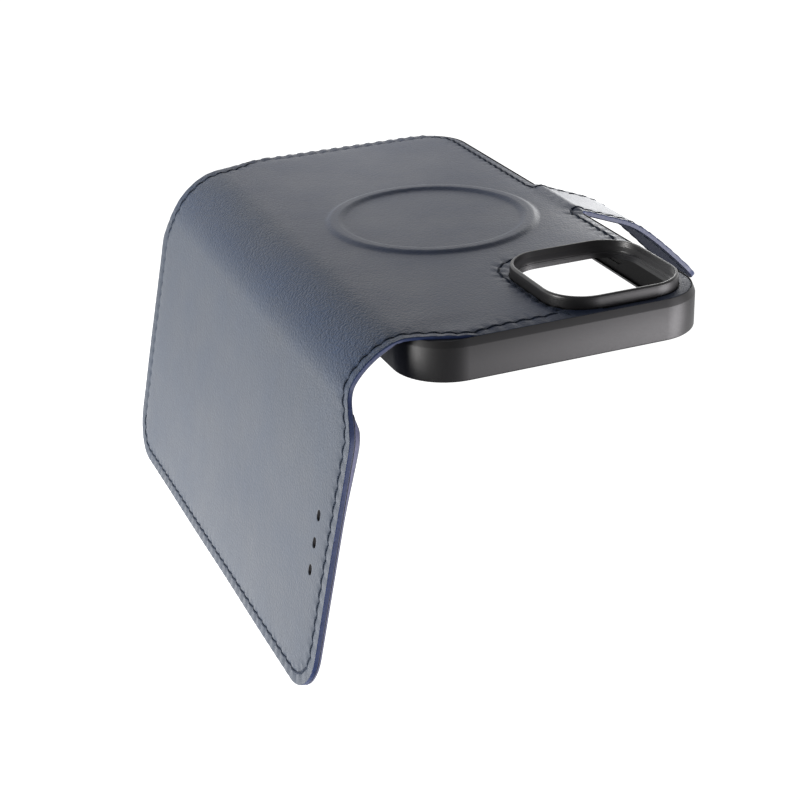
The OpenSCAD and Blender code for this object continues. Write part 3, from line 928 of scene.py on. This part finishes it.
def fix_to(piece, body, node):
    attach(piece, body)
    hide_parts(node)


def bend_over(piece, bodies, bend, material_slot, *nodes):
    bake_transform(piece)
    if nodes:
        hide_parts(*nodes)


leather_set = [outer_look, edge_look, lining_look, hole_shade_look]
back_piece = hide.piece("outer_leather_back", leather_set, STRAP_CUTS[0], SPINE_MID)
bend_over(back_piece, *TO_SPINE, "navy_leather", "back_leather", "spine_leather")
cover_piece = hide.piece("outer_leather_cover", leather_set, SPINE_MID)
bend_over(cover_piece, *TO_COVER, "navy_leather", "cover_leather")

LINING_START = CASE_W / 2 + 0.4


def lining_depth(s):
    spine = 0.05 + (SPINE_LINING - 0.05) * smooth((s - LINING_START) / 5)
    return LEATHER + spine + (COVER_LINING - SPINE_LINING) * smooth((s - SPINE_END) / 4)


lining = Panel(
    cover_outline(LINING_START, (SPINE_MID,)), -LEATHER, lambda s, z: -lining_depth(s),
    holes=slot_holes, round_top=False, round_bottom=True,
    background=[(spine_grid, 0.5), (plain_grid, 1.5)], cuts=[SPINE_MID])
lining_set = [lining_look, edge_look, lining_look, hole_shade_look]
strap_set = [suede_look, edge_look, suede_look]
pocket_set = [pocket_look, inner_edge_look, pocket_look, hole_shade_look]
spine_lining = lining.piece("spine_lining_soft", lining_set, high=SPINE_MID)
bend_over(spine_lining, *TO_SPINE, "lining_leather", "spine_lining")
cover_lining = lining.piece("cover_lining_soft", lining_set, low=SPINE_MID)
bend_over(cover_lining, *TO_COVER, "lining_leather", "cover_lining")

COVER_INNER = LEATHER + COVER_LINING
POCKET_INNER = COVER_INNER + POCKET


def pocket_back(s, z):
    """The pocket's panel stands off a little where it begins."""
    t = s - POCKET_START
    opened = smooth(t / 3.5)
    gap = 0.7 * opened * (1 - smooth((t - 4) / 22))
    return -COVER_INNER - 0.12 - (POCKET - 0.12) * opened - gap


pocket = Panel(
    cover_outline(POCKET_START), -COVER_INNER, pocket_back, holes=slot_holes, round_top=False,
    round_bottom=True, background=[(plain_grid, 1.5)])
fix_to(pocket.piece("cash_pocket_panel", pocket_set), "cover", "cash_pocket")

CARD_S = (COVER_FOLD + 12, COVER_END - 4)
CARD_LOW = 6.0


def card_lift(s, z, top):
    """How far a card pocket stands off the layer behind it, most at its mouth."""
    sides = smooth((s - CARD_S[0]) / 6) * smooth((CARD_S[1] - s) / 6)
    return 0.25 * sides * smooth((z - top + 22) / 20)


for i in (1, 2, 3):
    top = 112.0 - 12 * i
    node = f"card_pocket_{i}"
    outline = rounded(sum(CARD_S) / 2, (CARD_LOW + top) / 2, CARD_S[1] - CARD_S[0],
                      top - CARD_LOW, 2.5, 15.0)
    outline = resample(outline, 1.2)[0]
    inner = POCKET_INNER + (i - 1) * CARD
    crease = [run([CARD_S[0] + 2, CARD_S[1] - 2], top - d, 1.2) for d in (1.2, 1.6, 2.0)]

    def card_back(s, z, top=top, inner=inner):
        crease_line = 0.12 * np.exp(-(((z - top + 1.6) / 0.35) ** 2))
        return -(inner + CARD + card_lift(s, z, top)) + crease_line

    def card_front(s, z, top=top, inner=inner):
        return -(inner + card_lift(s, z, top))

    card = Panel(outline, card_front, card_back, round_top=False, round_bottom=True,
                 back_features=np.concatenate(crease), background=[(plain_grid, 1.5)])
    fix_to(card.piece(f"{node}_panel", pocket_set), "cover", node)

strap_lining = Panel(
    strap_outline(FREE_EDGE - 1.6, STRAP_CUTS), -LEATHER, -LEATHER - STRAP_LINING,
    round_top=False, round_bottom=True, background=[(strap_grid, 0.5)], cuts=STRAP_CUTS)
strap_parts = []
for i in range(4):
    part = f"strap_{{}}_{i + 1}" if i < 3 else "tab_{}"
    low = STRAP_CUTS[i + 1] if i < 3 else -EVERYWHERE
    strap_parts.append((part.format, low, STRAP_CUTS[i], STRAP_BODIES[i:i + 2], STRAP_BENDS[i]))
for part, low, high, bodies, bend in strap_parts:
    skin = hide.piece(part("leather") + "_soft", leather_set, low, high)
    more = ["tab_magnet"] if bodies[1] == "tab" else []
    bend_over(skin, bodies, bend, "navy_leather", part("leather"), *more)
    start = FREE_EDGE if bodies[0] == "tray" else high
    under = strap_lining.piece(part("lining") + "_soft", strap_set, low, start)
    bend_over(under, bodies, bend, "lining_leather", part("lining"))

# ---- stitches, in millimetres

THREAD = 0.6
THREAD_FLAT = 0.36
OVERLAP = 0.1
BOW = 0.2
SINK = 0.1
DEEPEST = 0.2
RINGS = 7
SIDES = 8


def stitch_points(at, way, surface, sign):
    """Rings of one stitch: it dives into the leather at both ends. Flat points and heights."""
    across = np.array([-way[1], way[0]])
    length = PITCH + OVERLAP
    deepest = surface(at) - sign * DEEPEST
    flat, high = [], []
    for j in range(RINGS):
        t = j / (RINGS - 1)
        bow = 1 - (2 * t - 1) ** 4
        middle = at + way * length * (t - 0.5) + across * 0.04 * (2 * t - 1)
        size = 0.8 + 0.2 * bow
        held = max(sign * surface(middle), sign * deepest)
        lift = sign * (held + BOW * bow - SINK)
        for a in np.arange(SIDES) * 2 * math.pi / SIDES:
            flat.append(middle + across * math.cos(a) * THREAD / 2 * size)
            high.append(lift + sign * math.sin(a) * THREAD * THREAD_FLAT * size)
    return np.array(flat), np.array(high)


def stitch_row(name, keep, surface, sign, bodies, bend, *nodes):
    flats, highs, faces = [], [], []
    count = RINGS * SIDES
    for at, way in zip(STITCH_AT, STITCH_WAY):
        if not keep(at):
            continue
        first = len(flats) * count
        flat, high = stitch_points(at, way, surface, sign)
        flats.append(flat)
        highs.append(high)
        for j in range(RINGS - 1):
            for k in range(SIDES):
                m = (k + 1) % SIDES
                a, b = first + j * SIDES, first + (j + 1) * SIDES
                faces.append((a + k, a + m, b + m, b + k))
        faces.append(tuple(first + k for k in range(SIDES)))
        faces.append(tuple(first + count - 1 - k for k in range(SIDES)))
    flat, high = np.concatenate(flats), np.concatenate(highs)
    mesh = new_mesh(name, place(flat[:, 0], flat[:, 1], high), faces)
    add_flat(mesh, np.column_stack([flat, high]))
    finish_mesh(mesh, 60)
    piece = add_object(name, mesh, [thread_look])
    bend_over(piece, bodies, bend, "thread", *nodes)


def on_leather(p):
    return float(outer_height(p[:1], p[1:])[0] - 0.2 * sunk_seam(p[0], p[1]))


def on_lining(p):
    if p[0] > POCKET_START + 1.5:
        return float(pocket_back(p[0], p[1]))
    return -float(lining_depth(p[0]))


def on_strap(p):
    return -LEATHER - STRAP_LINING


def between(low, high):
    return lambda p: low < p[0] <= high


stitch_row("back_stitches", between(STRAP_CUTS[0], SPINE_MID), on_leather, 1, *TO_SPINE,
           "back_stitching", "spine_stitching")
stitch_row("cover_stitches", between(SPINE_MID, EVERYWHERE), on_leather, 1, *TO_COVER,
           "cover_stitching")
stitch_row("spine_stitches_inside", between(LINING_START + 2.5, SPINE_MID), on_lining, -1,
           *TO_SPINE)
stitch_row("cover_stitches_inside", between(SPINE_MID, EVERYWHERE), on_lining, -1, *TO_COVER)
for part, low, high, bodies, bend in strap_parts:
    name, keep = part("stitches"), between(low, high)
    stitch_row(name, keep, on_leather, 1, bodies, bend, part("stitching"))
    stitch_row(name + "_under", keep, on_strap, -1, bodies, bend)

# ---- tray, rim and buttons

MID_Z = CASE_H / 2


def at_depth(flat, depth):
    """Flat x, z points at a depth below the leather back, in metres."""
    return np.column_stack([flat[:, 0], np.full(len(flat), BACK_Y - depth), flat[:, 1]]) * MM


def frame_loop(inset, depth, extra_z=0.0, centre=(0.0, MID_Z), size=(CASE_W, CASE_H),
               corner=CORNER):
    """A rounded rectangle round the case at a depth below the leather back."""
    wide, high = size[0] - 2 * inset, size[1] - 2 * inset - 2 * extra_z
    return at_depth(rounded(*centre, wide, high, corner - inset, 6.0), depth)


def plate(name, outer, hole, depth, materials):
    """A flat face between two loops."""
    loop, cut = outer[:, (0, 2)] / MM, hole[:, (0, 2)] / MM
    flat, _, tris = triangles(loop, [cut], [], NO_POINTS, [], [])
    return add_object(name, new_mesh(name, at_depth(flat, depth), tris.tolist()), materials)


def join(name, parts):
    """Several open skins made into one closed mesh."""
    work = bmesh.new()
    for part in parts:
        work.from_mesh(part.data)
        bpy.data.objects.remove(part)
    mesh = bpy.data.meshes.new(name)
    close_up(work, mesh, 2e-6)
    return mesh


WINDOW = dict(centre=(-RIM_S, RIM_Z), size=(RIM_W, RIM_H), corner=RIM_CORNER)
LEDGE = 1.5
LIP = 0.55
FIT = 0.2


def tray_mesh():
    """The tray without its openings, from rings of (inset, depth) steps."""
    bevel = [(0.86, 0.8), (0.86, 0.5), (0.8, 0.45), (0.7, 0.5), (0.06, 2.1), (0.0, 2.3)]
    wall = [(0.0, CASE_D - 0.42), (0.05, CASE_D - 0.2), (0.18, CASE_D - 0.05), (0.36, CASE_D)]
    lip = [(WALL + LIP - 0.22, CASE_D), (WALL + LIP - 0.06, CASE_D - 0.06),
           (WALL + LIP, CASE_D - 0.22), (WALL + LIP, CASE_D - 0.6)]
    loops = [frame_loop(*p) for p in bevel + wall + lip]
    for loop, (_, depth) in zip(loops, bevel):
        lowered = smooth((-loop[:, 0] / MM - 24) / 6)
        root = smooth((loop[:, 0] / MM - 30) / 2)
        root = root * (1 - smooth((np.abs(loop[:, 2] / MM - RING_Z) - 13) / 3))
        loop[:, 1] -= np.maximum(lowered, root) * max(0.82 - depth, 0) * MM
    inner = [(WALL, CASE_D - 0.65), (WALL, PLATE_FRONT + 0.5), (WALL + 0.12, PLATE_FRONT + 0.15),
             (WALL + 0.5, PLATE_FRONT)]
    loops += [frame_loop(*p, extra_z=FIT) for p in inner]
    outside = len(bevel + wall + lip) - 1
    slots = [int(k >= outside) for k in range(len(loops) - 1)]
    skin = loft("tray_skin", loops, [tray_look, tray_inside_shaded_look], slots=slots)
    low_hole = frame_loop(LEDGE, LEATHER, **WINDOW)
    high_hole = frame_loop(LEDGE, PLATE_FRONT, **WINDOW)
    back = plate("tray_back", loops[0], low_hole, LEATHER, [tray_look])
    floor = plate("tray_floor", loops[-1], high_hole, PLATE_FRONT, [tray_look])
    edge = loft("tray_window", [low_hole, high_hole], [tray_look])
    return join("phone_tray", [skin, back, floor, edge])


def cutter(loops):
    """A closed solid used to cut an opening, not shown."""
    obj = loft("cutter", loops, [tray_look], closed_ends=True)
    obj.hide_render = True
    return obj


BUTTON_DEPTH = (PLATE_FRONT + CASE_D - 0.65) / 2


def wall_loop(at, middle, length, thick, corner, side=True):
    """A rounded rectangle in a side wall at x, or in an end wall at z, in metres."""
    loop = rounded(middle, BACK_Y - BUTTON_DEPTH, length, thick, corner, 15.0)
    columns = [np.full(len(loop), at), loop[:, 1], loop[:, 0]]
    return np.column_stack(columns if side else columns[::-1]) * MM


def wall_cutter(side, z, length, thick, corner):
    outside = side * CASE_W / 2
    steps = [(2.0, 0.35), (0.0, 0.35), (-0.3, 0.0), (-WALL - 1.0, 0.0)]
    return cutter([wall_loop(outside + side * x, z, length + 2 * g, thick + 2 * g, corner + g)
                   for x, g in steps])


def end_cutter(x, width, thick):
    steps = [(-2.0, 0.4), (0.0, 0.4), (0.35, 0.0), (WALL + FIT + 1.0, 0.0)]
    return cutter([wall_loop(z, x, width + 2 * g, thick + 2 * g, thick / 2 + g - 0.01, side=False)
                   for z, g in steps])


def button_place(node):
    """A button cap's middle height and its length."""
    low, high = span(node)
    return (low[2] + high[2]) / 2, high[2] - low[2] - 0.8


CAP_H = 3.2
CAP_CORNER = 1.5
BUTTON_GAP = 0.2
tray = add_object("phone_tray", tray_mesh(), [tray_look, tray_inside_shaded_look])
BUTTONS = {"power_button": 1, "volume_up_button": -1, "volume_down_button": -1}
cutters = [wall_cutter(-1, CASE_H - 27, 9, 5, 1.6)]
cutters += [end_cutter(0, 13, 6), end_cutter(-17, 11, 3.4), end_cutter(17, 11, 3.4)]
for node, side in BUTTONS.items():
    middle, length = button_place(node)
    cutters.append(wall_cutter(side, middle, length + 2 * BUTTON_GAP, CAP_H + 2 * BUTTON_GAP, 1.7))
for tool in cutters:
    cut = tray.modifiers.new("cut", "BOOLEAN")
    cut.object = tool
    cut.solver = "EXACT"
shaped = bpy.data.meshes.new_from_object(tray.evaluated_get(bpy.context.evaluated_depsgraph_get()))
tray.modifiers.clear()
tray.data = shaped
tray.data.name = "phone_tray"
for tool in cutters:
    bpy.data.objects.remove(tool)
shade_smooth(shaped)
fix_to(tray, "tray", "phone_shell")

for node, side in BUTTONS.items():
    middle, length = button_place(node)
    outside = side * CASE_W / 2
    steps = [(-1.7, 0.0), (0.1, 0.0), (0.38, 0.08), (0.52, 0.25), (0.6, 0.55), (0.62, 0.95)]
    loops = [wall_loop(outside + side * x, middle, length - 2 * g, CAP_H - 2 * g, CAP_CORNER - g)
             for x, g in steps]
    cap = loft(node + "_cap", loops, [tray_look, tray_inside_shaded_look], closed_ends=True,
               slots=[1, 0, 0, 0, 0], angle=40)
    fix_to(cap, node, node)

rim_steps = [(0.0, 0.7, 0), (0.0, -1.6, 0), (0.06, -2.1, 0), (0.16, -2.42, 1), (0.3, -2.55, 1),
             (0.42, -2.6, 1), (0.74, -2.6, 1), (0.86, -2.54, 1), (0.92, -2.4, 1), (0.96, -1.2, 1),
             (1.02, -1.08, 2), (1.25, -0.2, 2), (1.3, -0.05, 1), (1.34, 0.3, 1), (1.46, 0.42, 2),
             (1.48, 0.75, 2), (0.4, 0.78, 0), (0.0, 0.7, 0)]
rim = loft("camera_rim_soft", [frame_loop(i, d, **WINDOW) for i, d, _ in rim_steps],
           [tray_look, rim_look, rim_inner_look], slots=[k for _, _, k in rim_steps[1:]])
fix_to(rim, "tray", "camera_rim")

pad_steps = [(0.0, 0.02), (0.0, 0.2), (0.08, 0.28), (0.25, 0.3)]
pad_out = [frame_loop(2.25 + i, PLATE_FRONT + d, extra_z=FIT) for i, d in pad_steps]
pad_in = [frame_loop(-0.1 - i, PLATE_FRONT + d, **WINDOW) for i, d in pad_steps]
pad = add_object("tray_pad", join("tray_pad", [
    loft("pad_side", pad_out, [fibre_look]), loft("pad_hole", pad_in, [fibre_look]),
    plate("pad_top", pad_out[-1], pad_in[-1], PLATE_FRONT + 0.3, [fibre_look]),
    plate("pad_low", pad_out[0], pad_in[0], PLATE_FRONT + 0.02, [fibre_look])]), [fibre_look])
fix_to(pad, "tray", "shell_lining")


def dress(node, material):
    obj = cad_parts[node]
    obj.data.materials.clear()
    obj.data.materials.append(material)


dress("magnet_ring", metal("nickel", (0.62, 0.62, 0.64), 0.3))
dress("closure_plate", metal("plate_steel", (0.55, 0.55, 0.56), 0.4))
dress("cover_board", board())

# ---- floor and light

scene = bpy.context.scene
scene.view_settings.view_transform = "Standard"


def emit_light(name, where, target, size, power, color):
    data = bpy.data.lights.new(name, "AREA")
    data.shape = "RECTANGLE"
    data.size, data.size_y = size
    data.energy = power
    data.color = color
    obj = bpy.data.objects.new(name, data)
    scene.collection.objects.link(obj)
    aim = (Vector(target) - Vector(where)).to_track_quat("-Z", "Y").to_matrix().to_4x4()
    obj.matrix_world = Matrix.Translation(where) @ aim


# The floor glows instead of being lit: white without shadows near the case, dimmer further away,
# with bright spots that light the case
floor_look = Look("floor", Roughness=1.0)
floor_look.set("Base Color", (0.02, 0.02, 0.02, 1.0))
floor_look.set("Emission Color", (1.0, 1.0, 1.0, 1.0))
on_floor = floor_look.node("TexCoord").outputs["Object"]
far = floor_look.node("SeparateXYZ", {0: on_floor}).outputs[1]
glow = floor_look.node("MapRange", {"Value": far, "From Min": 0.065, "From Max": 0.2,
                                    "To Min": 1.04, "To Max": 0.4},
                       interpolation_type="SMOOTHSTEP").outputs[0]
# Glowing spots of the floor, for highlights on the case: x, y, reach in metres, and power
BRIGHT_SPOTS = [(0.108, 0.016, 0.028, 5.2), (-0.115, -0.14, 0.1, 1.2), (0.01, 0.015, 0.024, 0.25)]
for x, y, reach, power in BRIGHT_SPOTS:
    away = floor_look.node("VectorMath", {0: on_floor, 1: (x, y, 0.0)}, operation="DISTANCE")
    fall = floor_look.math("POWER", floor_look.math("DIVIDE", away.outputs["Value"], reach), 2.0)
    fade = floor_look.math("EXPONENT", floor_look.math("MULTIPLY", fall, -1.0))
    glow = floor_look.math("ADD", floor_look.math("MULTIPLY", fade, power), glow)
floor_look.set("Emission Strength", glow)
bpy.ops.mesh.primitive_plane_add(size=8.0, location=(0, 0, -0.0002))
floor = bpy.context.object
floor.name = "floor"
floor.data.materials.append(floor_look.material)

world = bpy.data.worlds.new("studio")
scene.world = world
world.use_nodes = True
backdrop = world.node_tree.nodes["Background"].inputs
backdrop["Color"].default_value = (1, 1, 1, 1)
backdrop["Strength"].default_value = 0.15
emit_light("cover_light", (-0.85, -0.28, 0.14), (-0.06, -0.04, 0.075), (1.0, 0.26), 17.5,
           (1.0, 0.98, 0.97))
emit_light("wall_card", (0.86, -0.40, 0.86), (0.02, 0.0, 0.13), (0.8, 0.6), 23.0, (1.0, 0.97, 1.0))
